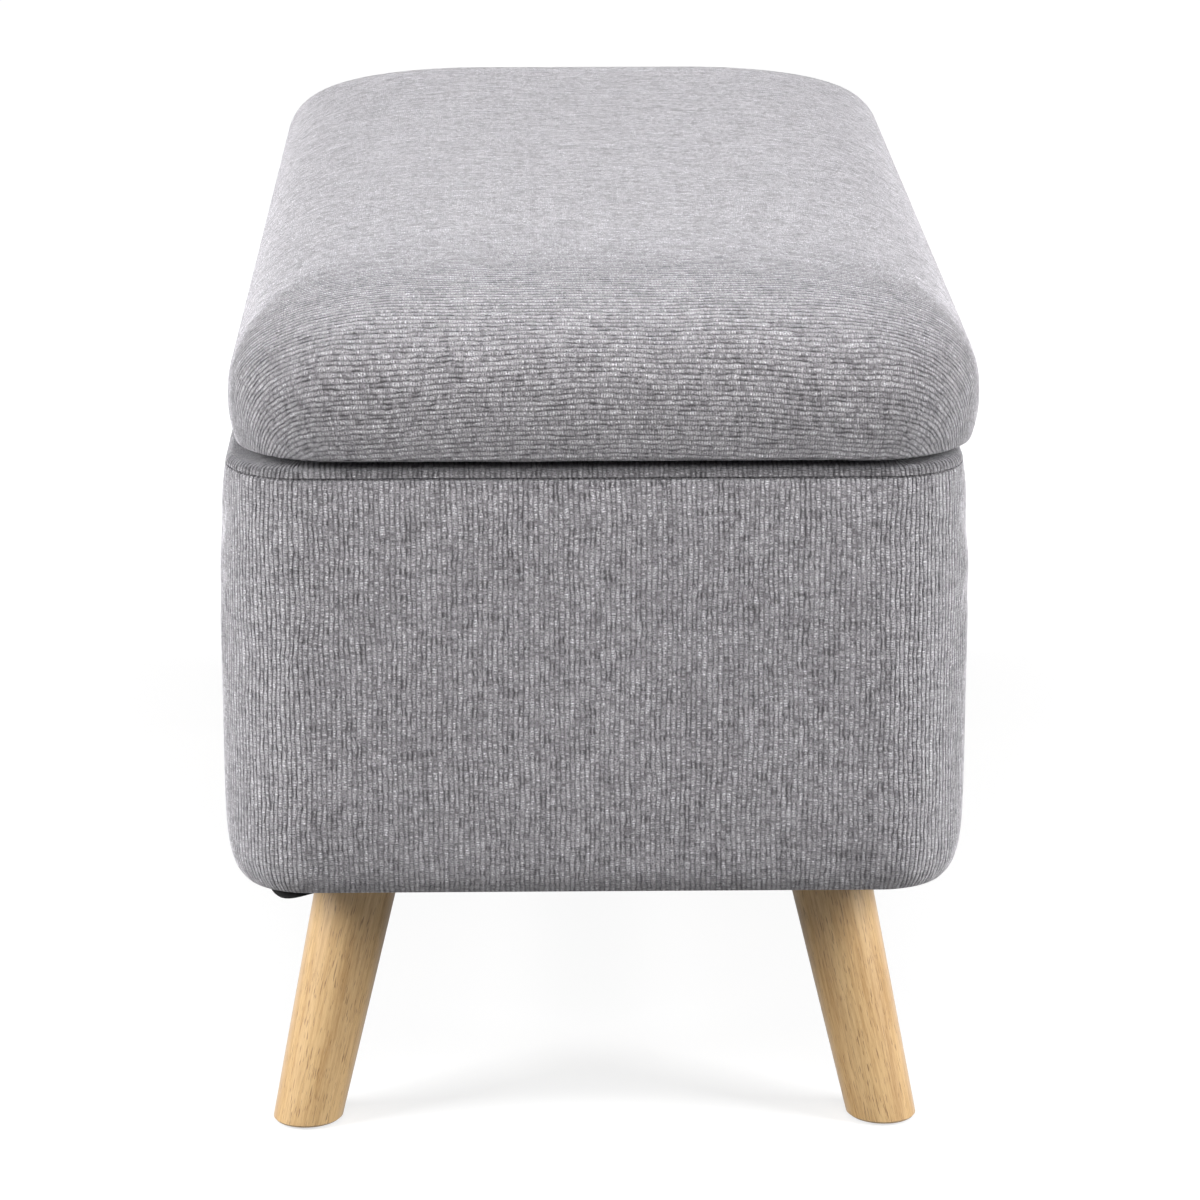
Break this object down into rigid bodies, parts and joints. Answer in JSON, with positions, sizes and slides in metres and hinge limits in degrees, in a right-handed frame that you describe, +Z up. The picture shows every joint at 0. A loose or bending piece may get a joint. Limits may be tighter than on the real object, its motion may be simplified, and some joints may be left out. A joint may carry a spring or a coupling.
{
  "type": "storage bench",
  "caption": "Upholstered storage bench: a padded hinged lid on a padded box with splayed round wooden legs.",
  "frame": {"origin": "on the floor under the middle of the bench's outline", "axes": "+X along the bench, -Y to the front, where the lid overhangs, +Y to the hinges, +Z up"},
  "size_m": [0.808, 0.4052, 0.48],
  "materials": {
    "ribbed_chenille": "ribbed chenille, light grey, with a soft sheen",
    "foam": "upholstery foam",
    "lining_cloth": "non-woven lining, charcoal",
    "dust_cloth": "non-woven dust cover, black",
    "plywood": "raw plywood",
    "block_wood": "sawn softwood",
    "leg_wood": "clear satin lacquer over rubberwood",
    "zinc_steel": "zinc-plated",
    "bumper_rubber": "matt black",
    "glide_felt": "matt brown"
  },
  "bodies": {
    "box": {"back_panel": "plywood", "base_board": "plywood", "base_screws": "zinc_steel", "box_cover": "ribbed_chenille", "box_foam": "foam", "corner_back_left": "plywood", "corner_back_right": "plywood", "corner_blocks": "block_wood", "corner_front_left": "plywood", "corner_front_right": "plywood", "dust_cover": "dust_cloth", "floor_lining": "lining_cloth", "front_panel": "plywood", "hanger_bolts": "zinc_steel", "hinge_box_screws": "zinc_steel", "hinge_left_box_leaf": "zinc_steel", "hinge_left_pin": "zinc_steel", "hinge_right_box_leaf": "zinc_steel", "hinge_right_pin": "zinc_steel", "left_panel": "plywood", "leg_back_left": "leg_wood", "leg_back_right": "leg_wood", "leg_front_left": "leg_wood", "leg_front_right": "leg_wood", "leg_glides": "glide_felt", "leg_plates": "zinc_steel", "plate_screws": "zinc_steel", "right_panel": "plywood", "rim_band": "ribbed_chenille", "stay_left_wall_plate": "zinc_steel", "stay_left_wall_rivet": "zinc_steel", "stay_right_wall_plate": "zinc_steel", "stay_right_wall_rivet": "zinc_steel", "stay_wall_screws": "zinc_steel", "wall_lining": "lining_cloth"},
    "lid": {"hinge_left_lid_leaf": "zinc_steel", "hinge_lid_screws": "zinc_steel", "hinge_right_lid_leaf": "zinc_steel", "lid_board": "plywood", "lid_bumpers": "bumper_rubber", "lid_cover": "ribbed_chenille", "lid_foam": "foam", "lid_lining": "lining_cloth", "stay_left_lid_bracket": "zinc_steel", "stay_left_lid_rivet": "zinc_steel", "stay_lid_screws": "zinc_steel", "stay_right_lid_bracket": "zinc_steel", "stay_right_lid_rivet": "zinc_steel"},
    "left_arm": {"stay_left_arm": "zinc_steel", "stay_left_elbow_rivet": "zinc_steel"},
    "left_link": {"stay_left_link": "zinc_steel"},
    "right_arm": {"stay_right_arm": "zinc_steel", "stay_right_elbow_rivet": "zinc_steel"},
    "right_link": {"stay_right_link": "zinc_steel"}
  },
  "joints": [
    {"name": "lid_hinge", "type": "hinge", "parent": "box", "child": "lid", "pos_m": [0, 0.1995, 0.3835], "axis": [-1, 0, 0], "range_deg": [0, 95]},
    {"name": "left_arm_pivot", "type": "hinge", "parent": "box", "child": "left_arm", "pos_m": [-0.3682, 0.111, 0.3135], "axis": [-1, 0, 0], "range_deg": [0, 95]},
    {"name": "left_link_pivot", "type": "hinge", "parent": "lid", "child": "left_link", "pos_m": [-0.3652, 0.0695, 0.3725], "axis": [-1, 0, 0], "range_deg": [-95, 0]},
    {"name": "right_arm_pivot", "type": "hinge", "parent": "box", "child": "right_arm", "pos_m": [0.3682, 0.111, 0.3135], "axis": [-1, 0, 0], "range_deg": [0, 95]},
    {"name": "right_link_pivot", "type": "hinge", "parent": "lid", "child": "right_link", "pos_m": [0.3652, 0.0695, 0.3725], "axis": [-1, 0, 0], "range_deg": [-95, 0]}
  ],
  "couplings": [
    {"joint": "left_arm_pivot", "follows": "lid_hinge", "ratio": 1},
    {"joint": "left_link_pivot", "follows": "lid_hinge", "ratio": -1},
    {"joint": "right_arm_pivot", "follows": "lid_hinge", "ratio": 1},
    {"joint": "right_link_pivot", "follows": "lid_hinge", "ratio": -1}
  ]
}
